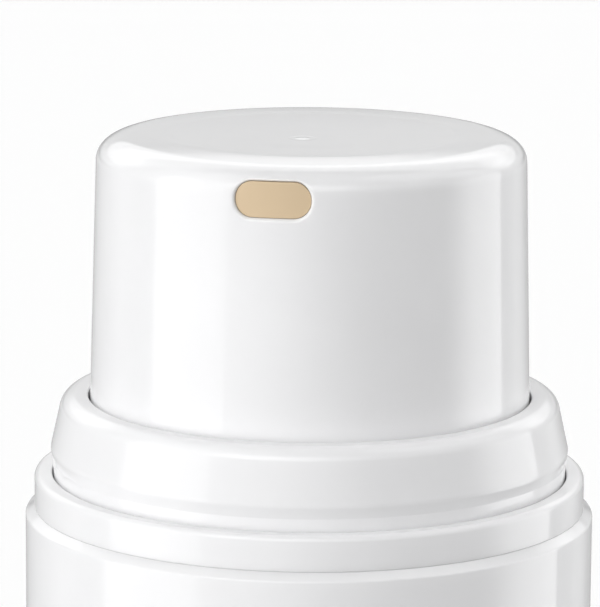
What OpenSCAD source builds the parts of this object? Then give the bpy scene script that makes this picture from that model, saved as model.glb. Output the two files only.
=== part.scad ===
// Airless pump bottle for creams and lotions.
// The origin is the centre of the standing face, +Z is up and the outlet faces -Y.

/* [Bottle] */
// Outer diameter of the bottle
body_d = 40; // [36:0.5:48]
// Wall of the outer bottle
body_wall = 1.1; // [0.9:0.05:1.4]
// Height of the ledge that the shoulder ring stands on
ledge_z = 80; // [70:1:120]
// Fall of the ledge from the ring to the outer edge
ledge_fall = 0.4; // [0.2:0.05:0.8]
// Radius of the bottle's lower outer edge
foot_round = 0.8; // [0.3:0.1:1]
// Height of the rim of the base cap
base_rim_h = 7; // [5:0.5:10]
// Thickness of the base cap's floor
base_floor = 1.2; // [0.8:0.1:2]
// Height of the base cap's floor above the table
base_lift = 1.6; // [1.2:0.1:3]
// Diameter of the air vent
vent_d = 1.5; // [0.8:0.1:3]

/* [Chamber] */
// Gap between the bottle and the product chamber
chamber_gap = 1; // [0.8:0.05:2]
// Wall of the product chamber
chamber_wall = 0.9; // [0.7:0.05:1.3]
// Thickness of the chamber's top plate
chamber_top = 1.2; // [0.9:0.1:2]
// Outer diameter of the chamber's neck
neck_d = 25.8; // [24:0.1:26.5]
// Wall of the neck
neck_wall = 1.15; // [0.9:0.05:1.4]
// Length of the neck above the top plate
neck_h = 5.3; // [5:0.1:8]
// Thickness of the neck gasket
gasket_t = 0.8; // [0.5:0.1:1.2]
// Height of the follower piston
follower_h = 11.5; // [10:0.5:16]
// Wall of the follower piston
follower_wall = 1; // [0.8:0.1:1.2]

/* [Shoulder ring] */
// Radial width of the ledge left outside the ring
ledge_w = 0.635; // [0.4:0.05:0.8]
// Radial width of the ring's top
ring_w = 1.245; // [1:0.005:1.6]
// Height of the ring above the ledge
ring_h = 2.42; // [1.8:0.1:6]
// Radius of the ring's top edge
ring_edge_r = 0.39; // [0.2:0.05:0.6]
// Thickness of the shelf under the collar
ring_shelf = 1.05; // [0.8:0.05:1.5]

/* [Collar] */
// How far the collar's widest line stands out from its straight lower wall
crest_out = 0.215; // [0.1:0.005:0.5]
// Height of the widest line above the ring
crest_h = 1.74; // [1.4:0.05:2.4]
// Height of the collar above the ring
collar_h = 5.52; // [5:0.1:8]
// Lean of the cone from upright, in degrees
collar_lean = 12.5; // [8:0.5:15]
// Radius of the collar's top edge
collar_edge_r = 1.07; // [0.6:0.05:1.3]
// Depth of the lip that guides the button
lip_h = 1.2; // [0.8:0.1:2]
// Wall of the collar
collar_wall = 1.38; // [1:0.05:1.6]
// Thickness of the collar's floor
collar_floor = 1.6; // [1.4:0.1:2.2]

/* [Button] */
// Radial step from the collar's lower wall in to the button
head_inset = 2.53; // [2.2:0.01:4]
// Draft of the button's wall, in degrees
head_draft = 1.2; // [0.5:0.1:2]
// Height of the button above the collar
head_h = 18.42; // [17.5:0.1:24]
// Wall of the button
head_wall = 1.1; // [0.9:0.05:1.4]
// Thickness of the button's top
head_top_wall = 0.9; // [0.7:0.05:1.1]
// Radial width of the rounded rim
rim_w = 2.45; // [1.5:0.05:3]
// Height of the rounded rim
rim_h = 1.86; // [1.2:0.05:2.4]
// Depth of the dished top
dish_depth = 0.4; // [0.2:0.05:0.7]
// Diameter of the moulding gate mark
gate_d = 1.7; // [1:0.1:3]
// Height of the moulding gate mark
gate_h = 0.06; // [0.03:0.01:0.1]
// Length of the button held inside the collar at rest
head_engage = 3.04; // [2.5:0.1:5]

/* [Outlet] */
// Width of the oval outlet
outlet_w = 5.15; // [4:0.05:6]
// Height of the oval outlet
outlet_h = 2.45; // [2:0.05:2.7]
// Depth of the outlet's centre below the top of the button
outlet_drop = 2.21; // [2.1:0.05:3]
// Depth of the plug's face below the button's wall
outlet_recess = 0.22; // [0.1:0.02:0.4]
// Gap round the plug in the outlet
outlet_gap = 0.08; // [0.05:0.01:0.12]
// Travel of the plug
plug_travel = 0.6; // [0.3:0.1:0.7]
// Diameter of the plug's shaft
plug_shaft_d = 1.1; // [0.8:0.1:1.2]

/* [Pump] */
// Travel of the button
stroke = 4; // [3:0.5:4.5]
// Bore of the pump barrel
pump_bore = 8; // [7.5:0.1:9]
// Wall of the pump barrel
pump_wall = 1; // [0.8:0.1:1.3]
// Thickness of the pump's flange
pump_flange = 1.2; // [0.9:0.1:1.6]
// Thickness of the pump's cup floor
pump_floor = 1; // [0.8:0.1:1.5]
// Outer diameter of the stem
stem_d = 5.6; // [5:0.1:6]
// Bore of the stem
stem_bore = 3.3; // [2.8:0.1:3.6]
// Length of the rod inside the stem
rod_grip = 9; // [6:0.5:12]
// Diameter of the rod's seat flange
seat_d = 5.8; // [5:0.1:6.4]
// Height of the pump piston
piston_h = 4.5; // [4:0.1:5.5]
// Slip of the pump piston on the rod
piston_slip = 0.5; // [0.3:0.05:0.8]
// Diameter of the inlet ball
ball_d = 2.5; // [2:0.1:3]
// Lift of the inlet ball
ball_lift = 0.8; // [0.5:0.1:1.2]
// Diameter of the inlet
inlet_d = 1.4; // [1:0.1:1.6]

/* [Springs] */
// Wire of the return spring
spring_wire = 0.9; // [0.7:0.05:1]
// Mean diameter of the return spring
spring_d = 11.2; // [10.4:0.1:12]
// Turns of the return spring
spring_turns = 6; // [4:1:7]
// Wire of the plug spring
plug_wire = 0.3; // [0.2:0.02:0.32]
// Mean diameter of the plug spring
plug_spring_d = 1.9; // [1.7:0.05:2]
// Turns of the plug spring
plug_turns = 5; // [3:1:5]

/* [Fits] */
// Radial clearance of a sliding or turning fit
slide_fit = 0.05; // [0.03:0.01:0.08]
// Gap between fixed pieces that are pressed or snapped together
seat_fit = 0.03; // [0.02:0.01:0.04]
// Clearance between fixed pieces that don't bear on each other
loose_fit = 0.15; // [0.1:0.01:0.2]
// Visible gap round the collar and the button
show_gap = 0.14; // [0.1:0.02:0.2]

/* [Hidden] */
$fn = 96;
// Overlap of shapes that are joined in one piece
eps = 0.01;
// Extra length of a cut past the face that it opens
cut = 1;

// Heights, from the ledge up to the button and down to the pump
ring_top = ledge_z + ring_h;
crest_z = ring_top + crest_h;
collar_top = ring_top + collar_h;
head_top = collar_top + head_h;
head_foot = collar_top - head_engage;
press_room = 0.5;
floor_top = head_foot - stroke - press_room;
floor_bottom = floor_top - collar_floor;
flange_bottom = floor_bottom - pump_flange;
neck_top = flange_bottom - gasket_t;
plate_top = neck_top - neck_h;
ceiling = plate_top - chamber_top;

// Bottle and base
body_r = body_d / 2;
body_in = body_r - body_wall;
base_top = base_lift + base_floor;
snap = 0.25;
snap_h = 1;
pad_h = 0.6;
ledge_edge_r = 0.2;

// Chamber
chamber_out = body_in - chamber_gap;
chamber_r = chamber_out - chamber_wall;
neck_r = neck_d / 2;
neck_in = neck_r - neck_wall;
plate_r = body_in - 2 * slide_fit;
bead = 0.4;
bead_h = 0.8;
bead_low = 3.1;

// Shoulder ring and collar, from the outside in
ring_r = body_r - ledge_w;
ring_in = ring_r - ring_w;
collar_r = ring_in - show_gap;
crest_r = collar_r + crest_out;
skirt_bottom = plate_top + seat_fit;
shelf_low = 3.4;
shelf_top = skirt_bottom + shelf_low + ring_shelf;
shelf_clear = 2.3;
shelf_in = neck_r + shelf_clear;
collar_low = shelf_top + seat_fit;
collar_in = collar_r - collar_wall;
undercut_h = 0.85;
hook_h = 1;
skirt_in = neck_r + bead + loose_fit;
skirt_wall = 0.85;
hook_in = neck_r + loose_fit;
hook_top = plate_top + bead_low - seat_fit;

// Button
head_r = collar_r - head_inset;
slope = tan(head_draft);
function wall_r(z) = head_r - (z - collar_top) * slope;
rim_low = head_top - rim_h;
rim_r = wall_r(rim_low) - rim_w;
foot_r = wall_r(head_foot);
lip_in = foot_r + show_gap;
dish_lean = atan(2 * dish_depth / rim_r);
function dish_z(r) = head_top - dish_depth * (1 - pow(r / rim_r, 2));
core_snap = 0.28;
disc_t = 1.2;
disc_drop = 6.7;
disc_z = head_top - disc_drop;
disc_r = wall_r(disc_z) - head_wall - seat_fit;

// Outlet and plug, along the -Y direction
outlet_z = head_top - outlet_drop;
outlet_y = wall_r(outlet_z);
plug_face = outlet_y - outlet_recess;
plug_depth = 0.65;
plug_back = outlet_y - head_wall - plug_depth;
web_t = 0.7;
web_y = plug_back - web_t;
top_gap = 0.16;
block_top = dish_z(0) - head_top_wall - top_gap;
spring_room = 0.2;
bore_r = plug_spring_d / 2 + plug_wire / 2 + spring_room;
bore_roof = 0.5;
plug_z = block_top - bore_roof - bore_r;
web_w = 2 * (bore_r - loose_fit);
cavity_y = plug_back - plug_travel - loose_fit;
pocket_y = web_y - plug_travel - loose_fit;
bush_l = 1.2;
plug_spring_l = 4.4;
bush_y = web_y - plug_spring_l;
shaft_y = bush_y - bush_l - plug_travel;
block_side = 1;
block_w = outlet_w + 2 * block_side;

// Pump
barrel_r = pump_bore / 2;
barrel_out = barrel_r + pump_wall;
stem_r = stem_d / 2;
riser_r = stem_bore / 2;
rod_r = riser_r - slide_fit;
cup_out = neck_in - loose_fit;
cup_wall = 0.8;
cup_in = cup_out - cup_wall;
piston_gap = 0.3;
piston_top = flange_bottom - piston_gap;
piston_low = piston_top - piston_h;
seat_top = piston_low - seat_fit;
seat_t = 0.8;
seat_low = seat_top - seat_t;
barrel_floor = seat_low - stroke - piston_gap;
floor_t = 1.2;
cage_t = 1;
ball_r = ball_d / 2;
cage_low = barrel_floor - cage_t;
ball_z = cage_low - slide_fit - ball_lift - ball_r;
ball_room = 0.95;
pocket_r = ball_r + ball_room;
valve_wall = 1;
valve_out = pocket_r + valve_wall;
// The ball rests on a 45 degree cone, with a running clearance
cone_shift = slide_fit * sqrt(2);
cone_low_r = inlet_d / 2;
cone_low = ball_z - ball_r * sqrt(2) - cone_shift + cone_low_r;
cone_top = cone_low + pocket_r - cone_low_r;
inlet_l = 1.2;
valve_low = cone_low - inlet_l;
stem_low = piston_top + piston_slip + slide_fit;
rod_top = stem_low + rod_grip;

// Housing cap
cap_land = 0.75;
cap_r = cup_in + cap_land;
cap_t = 0.8;
cap_well_w = 2.4;
cap_body_r = spring_d / 2 + spring_wire / 2 + cap_well_w;
cap_seat_t = 0.4;
cap_floor_z = floor_bottom + cap_t + cap_seat_t;
cap_wall_h = 1.1;
cap_wall_top = floor_top + cap_wall_h;
cap_wall = 1;
tube_clear = 0.9;
tube_r = spring_d / 2 - spring_wire / 2 - tube_clear;
tube_h = 4.6;
tube_top = floor_top + tube_h;
stem_hole = stem_r + slide_fit;

// Core inside the button
core_seat_w = 0.7;
core_seat_r = spring_d / 2 + spring_wire / 2 + core_seat_w;
core_seat_drop = 9.2;
core_seat_z = head_top - core_seat_drop;
core_seat_t = 1.2;
tower_r = 4.6;
tower_drop = 0.3;
tower_top = block_top - tower_drop;
socket_drop = 5.2;
socket_top = head_top - socket_drop;
stem_top = socket_top - seat_fit;
well_roof = 0.8;
well_top = tower_top - well_roof;

// Follower piston, at its lowest place
follower_low = base_top + pad_h + seat_fit;
follower_top = follower_low + follower_h;
follower_room = 0.4;
lip_t = 1.1;
follower_travel = ceiling - follower_room - follower_top;
well_gap = 0.4;
step_z = follower_top + follower_room - (ceiling - (barrel_floor - floor_t)) - well_gap;
well_z = follower_top + follower_room - (ceiling - valve_low) - well_gap;

// Return spring
spring_low = cap_floor_z;
spring_len = core_seat_z - spring_low;

white = [0.95, 0.95, 0.945];
natural = [0.93, 0.93, 0.90];
beige = [0.86, 0.78, 0.67];
steel = [0.74, 0.75, 0.77];

// Points of an elliptical arc about (x, z), from angle a0 to a1
function arc(x, z, rx, rz, a0, a1, n) =
    [for (i = [0:n]) let (a = a0 + (a1 - a0) * i / n) [x + rx * cos(a), z + rz * sin(a)]];

// Tube between two radii and two heights
module tube(r_out, r_in, z0, z1) {
    rotate_extrude() translate([r_in, z0]) square([r_out - r_in, z1 - z0]);
}

// Horizontal oval bar along Y, centred at height z
module oval_bar(w, h, z, y0, y1) {
    translate([-(w - h) / 2, y0, z - h / 2]) cube([w - h, y1 - y0, h]);
    for (side = [-1, 1])
        translate([side * (w - h) / 2, y1, z]) rotate([90, 0, 0]) cylinder(h = y1 - y0, d = h);
}

// Centre of a helix at turn t, with its pitch along Z
function coil_at(r, pitch, t) = [r * cos(360 * t), r * sin(360 * t), pitch * t];

// Ring of wire points round the helix centre at turn t
function coil_ring(r, wire, pitch, t, sides) =
    let (c = coil_at(r, pitch, t), run = 2 * PI * r, long = sqrt(run * run + pitch * pitch),
        out = [cos(360 * t), sin(360 * t), 0],
        up = [sin(360 * t) * pitch / long, -cos(360 * t) * pitch / long, run / long])
    [for (k = [0:sides - 1]) c + wire / 2 * (cos(360 * k / sides) * out + sin(360 * k / sides) * up)];

// Open coil spring that stands on Z = 0 and is as tall as its length
module coil(r, wire, length, turns, label) {
    sides = 8;
    per_turn = 16;
    last = round(turns * per_turn);
    pitch = (length - wire) / turns;
    rings = [for (i = [0:last]) coil_ring(r, wire, pitch, i / per_turn, sides)];
    points = [for (ring = rings, p = ring) p + [0, 0, wire / 2]];
    walls = [for (i = [0:last - 1], k = [0:sides - 1]) let (n = (k + 1) % sides, a = i * sides,
        b = a + sides) each [[a + k, b + k, b + n], [a + k, b + n, a + n]]];
    ends = [[for (k = [0:sides - 1]) k], [for (k = [sides - 1:-1:0]) last * sides + k]];
    centres = [for (i = [0:last]) coil_at(r, pitch, i / per_turn)];
    gaps = [for (i = [0:last]) for (j = [i + per_turn / 2:last]) norm(centres[i] - centres[j])];
    echo(str(label, " least gap between turns, mm: ", min(gaps) - wire));
    polyhedron(points, concat(ends, walls), convexity = 10);
}

module outer_bottle() {
    foot_angle = -80;
    edge_angle = 60;
    edge_z = ledge_z - ledge_fall - ledge_edge_r;
    color(white) rotate_extrude() polygon(concat(
        [[body_in, 0], [body_r - foot_round, 0]],
        arc(body_r - foot_round, foot_round, foot_round, foot_round, foot_angle, 0, 8),
        arc(body_r - ledge_edge_r, edge_z, ledge_edge_r, ledge_edge_r, 0, edge_angle, 4),
        [[ring_r, ledge_z], [body_in, ledge_z],
            [body_in, base_rim_h - snap_h + seat_fit], [body_in + snap, base_rim_h - snap_h + seat_fit],
            [body_in + snap, base_rim_h - 2 * snap_h], [body_in, base_rim_h - 2 * snap_h]]));
}

module base_cap() {
    rim_out = body_in - seat_fit;
    rim_in = chamber_out + seat_fit;
    foot_w = 1.4;
    foot_in = rim_in - foot_w;
    pad_d = 2;
    pad_in = 1.7;
    color(white) difference() {
        union() {
            rotate_extrude() polygon([[0, base_lift], [foot_in, base_lift], [foot_in + 0.2, 0],
                [rim_in, 0], [rim_out, 0.6], [rim_out, base_rim_h - 2 * snap_h + seat_fit],
                [rim_out + snap, base_rim_h - 1.7 * snap_h], [rim_out + snap, base_rim_h - snap_h],
                [rim_out, base_rim_h - snap_h], [rim_out, base_rim_h], [rim_in, base_rim_h],
                [rim_in, base_top], [0, base_top]]);
            for (a = [30:120:270]) rotate(a)
                translate([chamber_r - pad_in, 0, base_top - eps]) cylinder(h = pad_h + eps, d = pad_d);
        }
        translate([0, 0, base_lift - cut]) cylinder(h = base_floor + 2 * cut, d = vent_d);
    }
}

module inner_cylinder() {
    bead_z = plate_top + bead_low;
    color(natural) rotate_extrude() polygon([[chamber_r, base_top], [chamber_out, base_top],
        [chamber_out, ceiling], [plate_r, ceiling], [plate_r, plate_top], [neck_r, plate_top],
        [neck_r, bead_z], [neck_r + bead, bead_z], [neck_r + bead, bead_z + bead_h / 3],
        [neck_r, bead_z + bead_h], [neck_r, neck_top], [neck_in, neck_top], [neck_in, ceiling],
        [chamber_r, ceiling]]);
}

module follower_piston() {
    lip_r = chamber_r - slide_fit;
    skirt_r = lip_r - 0.6;
    inner_r = skirt_r - follower_wall;
    step_r = barrel_out + well_gap;
    deep_r = valve_out + well_gap;
    color(natural) rotate_extrude() polygon([
        [0, well_z], [deep_r, well_z], [deep_r, step_z], [step_r, step_z], [step_r, follower_top],
        [skirt_r, follower_top], [lip_r, follower_top - lip_t * 0.4], [lip_r, follower_top - lip_t],
        [skirt_r, follower_top - 1.8 * lip_t], [skirt_r, follower_low + 1.8 * lip_t],
        [lip_r, follower_low + lip_t], [lip_r, follower_low + lip_t * 0.3], [skirt_r, follower_low],
        [inner_r, follower_low], [inner_r, follower_top - follower_wall * 1.2],
        [step_r + follower_wall, follower_top - follower_wall * 1.2],
        [step_r + follower_wall, step_z - follower_wall], [deep_r + follower_wall, step_z - follower_wall],
        [deep_r + follower_wall, well_z - follower_wall], [0, well_z - follower_wall]]);
}

module shoulder_ring() {
    color(white) rotate_extrude() polygon(concat(
        [[body_in - seat_fit, skirt_bottom], [body_in - seat_fit, ledge_z], [ring_r, ledge_z]],
        arc(ring_r - ring_edge_r, ring_top - ring_edge_r, ring_edge_r, ring_edge_r, 0, 90, 8),
        arc(ring_in + 0.12, ring_top - 0.12, 0.12, 0.12, 90, 180, 3),
        [[ring_in, shelf_top], [shelf_in, shelf_top], [shelf_in, shelf_top - ring_shelf],
            [ring_in - 0.25, shelf_top - ring_shelf], [ring_in - 0.25, skirt_bottom]]));
}

module collar() {
    edge_z = collar_top - collar_edge_r;
    lean_r = crest_r - (edge_z + collar_edge_r * sin(collar_lean) - crest_z) * tan(collar_lean);
    edge_x = lean_r - collar_edge_r * cos(collar_lean);
    hole_r = cap_body_r + loose_fit;
    step_r = cap_r + 0.2;
    step_z = floor_bottom + cap_t + seat_fit;
    round_r = 0.8;
    swing = atan((crest_r - collar_r) / undercut_h);
    color(white) rotate_extrude() polygon(concat(
        [[collar_in, collar_low], [collar_r, collar_low], [collar_r, crest_z - undercut_h - 0.1],
            [collar_r + 0.03, crest_z - undercut_h + 0.05]],
        arc(crest_r - round_r, crest_z, round_r, round_r, -swing, collar_lean, 6),
        arc(edge_x, edge_z, collar_edge_r, collar_edge_r, collar_lean, 90, 10),
        arc(lip_in + 0.15, collar_top - 0.15, 0.15, 0.15, 90, 180, 3),
        [[lip_in, collar_top - lip_h], [collar_in, collar_top - lip_h - (collar_in - lip_in)],
            [collar_in, floor_top], [hole_r, floor_top], [hole_r, step_z], [step_r, step_z],
            [step_r, floor_bottom], [skirt_in, floor_bottom], [skirt_in, hook_top],
            [hook_in, hook_top], [hook_in, hook_top - hook_h / 2], [skirt_in, hook_top - hook_h],
            [skirt_in + skirt_wall, hook_top - hook_h], [skirt_in + skirt_wall, floor_bottom],
            [collar_in, floor_bottom]]));
}

module neck_gasket() {
    color([0.80, 0.82, 0.84]) tube(neck_r, neck_in + 0.1, neck_top, flange_bottom);
}

module pump_housing() {
    floor_low = barrel_floor - floor_t;
    color(natural) rotate_extrude() polygon([
        [cone_low_r, valve_low], [valve_out, valve_low], [valve_out, floor_low], [barrel_out, floor_low],
        [barrel_out, ceiling], [cup_out, ceiling], [cup_out, flange_bottom], [neck_r, flange_bottom],
        [neck_r, floor_bottom], [cup_in, floor_bottom], [cup_in, ceiling + pump_floor],
        [barrel_out, ceiling + pump_floor], [barrel_out, floor_bottom], [barrel_r, floor_bottom],
        [barrel_r, barrel_floor], [pocket_r, barrel_floor], [pocket_r, cone_top], [cone_low_r, cone_low]]);
}

module ball_cage() {
    port_r = 0.55;
    port_in = 1;
    color(natural) difference() {
        translate([0, 0, cage_low]) cylinder(h = cage_t, r = pocket_r - seat_fit);
        for (a = [0:120:240]) rotate(a)
            translate([pocket_r - port_in, 0, cage_low - cut]) cylinder(h = cage_t + 2 * cut, r = port_r);
    }
}

module inlet_ball() {
    color([0.80, 0.86, 0.88]) translate([0, 0, ball_z]) sphere(r = ball_r);
}

module housing_cap() {
    color(natural) rotate_extrude() polygon([
        [stem_hole, piston_top + slide_fit], [barrel_r - seat_fit, piston_top + slide_fit],
        [barrel_r - seat_fit, floor_bottom], [cap_r, floor_bottom], [cap_r, floor_bottom + cap_t],
        [cap_body_r, floor_bottom + cap_t], [cap_body_r, cap_wall_top],
        [cap_body_r - cap_wall, cap_wall_top], [cap_body_r - cap_wall, cap_floor_z],
        [tube_r, cap_floor_z], [tube_r, tube_top - 0.3], [tube_r - 0.3, tube_top],
        [stem_hole, tube_top]]);
}

module piston_rod() {
    groove_w = 0.8;
    groove_d = 0.5;
    color(natural) difference() {
        rotate_extrude() polygon([[0, seat_low], [seat_d / 2 - 0.2, seat_low],
            [seat_d / 2, seat_low + 0.2], [seat_d / 2, seat_top], [rod_r, seat_top],
            [rod_r, rod_top - 0.3], [rod_r - 0.3, rod_top], [0, rod_top]]);
        for (a = [0:90:270]) rotate(a)
            translate([rod_r - groove_d, -groove_w / 2, seat_top + 0.1])
                cube([groove_d + cut, groove_w, rod_top - seat_top]);
    }
}

module pump_piston() {
    wipe_r = barrel_r - slide_fit / 2;
    waist_r = barrel_r - 0.35;
    mouth_r = waist_r - 0.4;
    hole_r = rod_r + slide_fit;
    lip_edge = 0.1;
    lip_back = 0.8;
    lip_root = 1.3;
    color(natural) rotate_extrude() polygon([[hole_r, piston_low], [mouth_r, piston_low],
        [wipe_r, piston_low + lip_edge], [wipe_r, piston_low + lip_back],
        [waist_r, piston_low + lip_root], [waist_r, piston_top - lip_root],
        [wipe_r, piston_top - lip_back], [wipe_r, piston_top - lip_edge], [mouth_r, piston_top],
        [hole_r, piston_top]]);
}

module return_spring() {
    color(steel) translate([0, 0, spring_low])
        coil(spring_d / 2, spring_wire, spring_len, spring_turns, "return_spring");
}

module stem() {
    color(natural) rotate_extrude() polygon([[riser_r, stem_low], [stem_r - 0.2, stem_low],
        [stem_r, stem_low + 0.2], [stem_r, stem_top - 0.3], [stem_r - 0.3, stem_top],
        [riser_r, stem_top]]);
}

module actuator_core() {
    socket_r = stem_r + seat_fit;
    front = wall_r(block_top) - head_wall - 0.08;
    color(natural) difference() {
        union() {
            tube(core_seat_r, socket_r, core_seat_z, core_seat_z + core_seat_t);
            translate([0, 0, core_seat_z]) cylinder(h = tower_top - core_seat_z, r = tower_r);
            rotate_extrude() polygon([[0, disc_z], [disc_r - 0.4, disc_z], [disc_r, disc_z + 0.2],
                [disc_r + core_snap, disc_z + 0.6 * disc_t], [disc_r, disc_z + disc_t], [0, disc_z + disc_t]]);
            intersection() {
                translate([-block_w / 2, -front, disc_z]) cube([block_w, front, block_top - disc_z]);
                translate([0, 0, disc_z]) cylinder(h = block_top - disc_z, r = front);
            }
        }
        translate([0, 0, core_seat_z - cut]) cylinder(h = socket_top - core_seat_z + cut, r = socket_r);
        cylinder(h = well_top, r = riser_r);
        translate([0, 0, plug_z]) rotate([90, 0, 0]) cylinder(h = pocket_y + cut, r = bore_r);
        oval_bar(outlet_w + 0.2, outlet_h + 0.2, outlet_z, -outlet_y, -cavity_y);
        translate([-bore_r, -outlet_y, plug_z - bore_r])
            cube([2 * bore_r, outlet_y - pocket_y, block_top - plug_z + bore_r + cut]);
    }
}

module actuator_shell() {
    inner_top = head_top - head_top_wall;
    corner = 0.3;
    color(white) difference() {
        rotate_extrude() polygon(concat(
            [[0, dish_z(0) + gate_h], [gate_d / 2 - 0.15, dish_z(0) + gate_h], [gate_d / 2, dish_z(gate_d / 2)]],
            [for (i = [1:8]) let (r = rim_r * i / 9) [r, dish_z(r)]],
            arc(rim_r, rim_low, rim_w, rim_h, 90, 0, 16),
            [[foot_r, head_foot + 0.15], [foot_r - 0.15, head_foot], [foot_r - head_wall, head_foot]],
            [[wall_r(disc_z) - head_wall, disc_z - 0.1],
                [wall_r(disc_z) - head_wall + core_snap, disc_z + 0.6 * disc_t - 0.1],
                [wall_r(disc_z) - head_wall + core_snap, disc_z + 0.6 * disc_t + 0.1],
                [wall_r(disc_z) - head_wall, disc_z + disc_t + 0.1],
                [wall_r(inner_top - corner) - head_wall, inner_top - corner],
                [wall_r(inner_top) - head_wall - corner, inner_top]],
            [for (i = [9:-1:0]) let (r = rim_r * i / 9) [r, dish_z(r) - head_top_wall]]));
        oval_bar(outlet_w, outlet_h, outlet_z, -outlet_y - 2 * cut, -outlet_y + head_wall + 0.6);
    }
}

module plug_guide() {
    color(natural) difference() {
        intersection() {
            translate([0, -bush_y + bush_l, plug_z]) rotate([90, 0, 0])
                cylinder(h = bush_l, r = bore_r - seat_fit);
            translate([-bore_r, -bush_y, plug_z - bore_r + 0.25])
                cube([2 * bore_r, bush_l, 2 * bore_r - 0.5]);
        }
        translate([0, -bush_y + bush_l + cut, plug_z]) rotate([90, 0, 0])
            cylinder(h = bush_l + 2 * cut, d = plug_shaft_d + 2 * slide_fit);
    }
}

module plug_spring() {
    color(steel) translate([0, -bush_y, plug_z]) rotate([90, 0, 0])
        coil(plug_spring_d / 2, plug_wire, plug_spring_l, plug_turns, "plug_spring");
}

module outlet_plug() {
    gap = 2 * outlet_gap;
    web_top = outlet_z + outlet_h / 2 - outlet_gap - 0.25;
    web_low = plug_z - web_w / 2;
    color(beige) {
        intersection() {
            oval_bar(outlet_w - gap, outlet_h - gap, outlet_z, -outlet_y, -plug_back);
            translate([0, 0, outlet_z - outlet_h]) cylinder(h = 2 * outlet_h, r = plug_face, $fn = 256);
        }
        translate([-web_w / 2, -plug_back - eps, web_low]) cube([web_w, web_t + eps, web_top - web_low]);
        translate([0, -shaft_y, plug_z]) rotate([90, 0, 0])
            cylinder(h = web_y - shaft_y + eps, d = plug_shaft_d);
    }
}

outer_bottle();
base_cap();
inner_cylinder();
follower_piston();
shoulder_ring();
collar();
neck_gasket();
pump_housing();
ball_cage();
inlet_ball();
housing_cap();
piston_rod();
pump_piston();
return_spring();
stem();
actuator_core();
actuator_shell();
plug_guide();
plug_spring();
outlet_plug();
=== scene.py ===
import math

import bmesh
import bpy
from mathutils import Matrix, Vector


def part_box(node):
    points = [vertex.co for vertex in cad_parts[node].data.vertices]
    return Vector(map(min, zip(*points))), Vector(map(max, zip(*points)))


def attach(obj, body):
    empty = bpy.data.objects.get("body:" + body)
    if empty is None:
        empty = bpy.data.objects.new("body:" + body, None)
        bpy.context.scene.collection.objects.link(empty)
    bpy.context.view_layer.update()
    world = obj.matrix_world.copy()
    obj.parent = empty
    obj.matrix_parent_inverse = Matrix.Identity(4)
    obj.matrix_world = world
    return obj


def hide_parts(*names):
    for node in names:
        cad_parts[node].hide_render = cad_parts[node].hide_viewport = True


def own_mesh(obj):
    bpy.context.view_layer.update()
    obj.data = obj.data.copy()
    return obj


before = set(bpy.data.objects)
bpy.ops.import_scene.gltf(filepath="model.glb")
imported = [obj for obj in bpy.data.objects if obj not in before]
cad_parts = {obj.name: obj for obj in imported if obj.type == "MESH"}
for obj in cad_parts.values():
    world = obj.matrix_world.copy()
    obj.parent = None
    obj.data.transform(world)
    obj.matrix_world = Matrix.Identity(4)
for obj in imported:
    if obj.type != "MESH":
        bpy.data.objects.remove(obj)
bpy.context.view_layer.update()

# Looks of an airless pump bottle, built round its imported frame.
# Shapes are written in millimetres and stored in metres. The outlet faces -Y.
MM = 0.001

# Camera: the photograph's view, as a place round the bottle and a long lens
CAMERA_AZIMUTH = 10.1
CAMERA_ELEVATION = 11.26
CAMERA_ROLL = 0.4
CAMERA_DISTANCE = 292.5
CAMERA_LENS = 247.65
SENSOR_WIDTH = 36
TARGET_HEIGHT = 94.3
TARGET_ASIDE = -0.735

# How near and how far the camera sees, in metres
CAMERA_NEAR = 0.01
CAMERA_FAR = 100

# Mesh density: columns round the axis, degrees in an arc's step and how far a guard point lies beside it.
# A ring of a smaller radius than the last value is a point on the axis.
AROUND = 512
ARC_STEP = 6.0
GUARD = 0.03
AXIS_R = 1e-6


def box_mm(node):
    """Lowest and highest corner of a CAD node, in millimetres."""
    low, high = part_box(node)
    return low / MM, high / MM


# Main sizes, read from the frame
BODY_R = box_mm("outer_bottle")[1].x
LEDGE_Z = box_mm("outer_bottle")[1].z
RING_LOW = box_mm("shoulder_ring")[0].z
RING_R = box_mm("shoulder_ring")[1].x
RING_TOP = box_mm("shoulder_ring")[1].z
COLLAR_LOW = box_mm("collar")[0].z
COLLAR_CREST_R = box_mm("collar")[1].x
COLLAR_TOP = box_mm("collar")[1].z
HEAD_FOOT = box_mm("actuator_shell")[0].z
HEAD_TOP = box_mm("actuator_shell")[1].z
HEAD_FOOT_R = box_mm("actuator_shell")[1].x
CAP_TOP = box_mm("base_cap")[1].z

# Sizes that the frame's boxes don't give, piece by piece

# Play between pieces that sit in each other, and the height of a snap bead
SEAT = 0.03
SNAP = 0.25

# Sleeve: wall, foot, sloped ledge and the groove that the base cap snaps into
BODY_WALL = 1.1
FOOT_ROUND = 0.8
LEDGE_H = 0.507
GROOVE_LOW = 5
GROOVE_TOP = 6.03

# Base cap: its rim, its raised floor with a vent, and the heights of its snap bead under the rim's top
CHAMBER_OUT_R = 17.9
CAP_FOOT_W = 1.4
CAP_CHAMFER = 0.6
BASE_LIFT = 1.6
BASE_FLOOR = 1.2
VENT_R = 0.75
BEAD_FOOT = 1.97
BEAD_LOW = 1.7
BEAD_TOP = 1

# Three pads on the base cap's floor
PAD_TURNS = (30, 150, 270)
PAD_R = 1.0
PAD_H = 0.6
PAD_PLACE = 15.3
PAD_SINK = 0.1

# Shoulder ring and the shelf inside it
RING_IN_R = 18.12
SHELF_R = 15.2
SHELF_TOP = 75.98
SHELF_T = 1.05
SHELF_STEP = 0.25

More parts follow.
